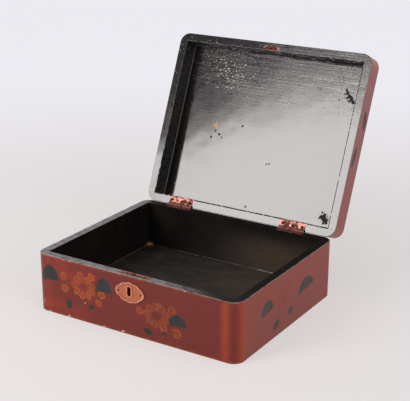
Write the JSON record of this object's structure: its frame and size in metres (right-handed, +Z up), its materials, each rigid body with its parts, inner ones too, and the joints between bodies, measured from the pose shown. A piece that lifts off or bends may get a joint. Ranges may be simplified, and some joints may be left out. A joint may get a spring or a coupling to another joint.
{
  "type": "lacquered writing box",
  "caption": "Rectangular lacquered wooden box with a hinged lid that leans back open, a scalloped keyhole plate and a sliding-bolt lock.",
  "frame": {"origin": "centre of the box's underside", "axes": "+X to the right seen from the keyhole side, +Y to the back where the hinges are, +Z up; the lid stands open"},
  "size_m": [0.25, 0.3111, 0.2547],
  "materials": {
    "lacquer_red": "gloss lacquer, worn at the edges",
    "lacquer_black": "gloss black lacquer",
    "peg_wood": "bare",
    "copper": "worn, coppery",
    "screw_metal": "darkened",
    "lock_brass": "dull",
    "lock_steel": "dull"
  },
  "bodies": {
    "box": {"front_wall": "lacquer_red", "back_wall": "lacquer_red", "left_wall": "lacquer_red", "right_wall": "lacquer_red", "bottom_board": "lacquer_black", "bottom_pegs": "peg_wood", "escutcheon": "copper", "escutcheon_pins": "copper", "lock_plate": "copper", "hinge_left_base_leaf": "copper", "hinge_left_pin": "copper", "hinge_right_base_leaf": "copper", "hinge_right_pin": "copper", "hinge_left_base_screws": "screw_metal", "hinge_right_base_screws": "screw_metal", "lock_screws": "screw_metal", "lock_case": "lock_brass", "lock_rivets": "lock_brass", "lock_spring": "lock_steel"},
    "lid": {"lid_front_rail": "lacquer_red", "lid_back_rail": "lacquer_red", "lid_left_rail": "lacquer_red", "lid_right_rail": "lacquer_red", "lid_panel": "lacquer_black", "lid_pegs": "peg_wood", "hinge_left_lid_leaf": "copper", "hinge_left_lid_screws": "screw_metal", "hinge_right_lid_leaf": "copper", "hinge_right_lid_screws": "screw_metal", "strike_plate": "copper", "strike_screws": "screw_metal"},
    "lock_bolt": {"lock_bolt": "lock_steel"}
  },
  "joints": [
    {"name": "lid_hinge", "type": "hinge", "parent": "box", "child": "lid", "pos_m": [0, 0.103, 0.06555], "axis": [1, 0, 0], "range_deg": [0, 113.2]},
    {"name": "bolt_slide", "type": "slide", "parent": "box", "child": "lock_bolt", "axis": [-1, 0, 0], "range_m": [0, 0.0045]}
  ]
}
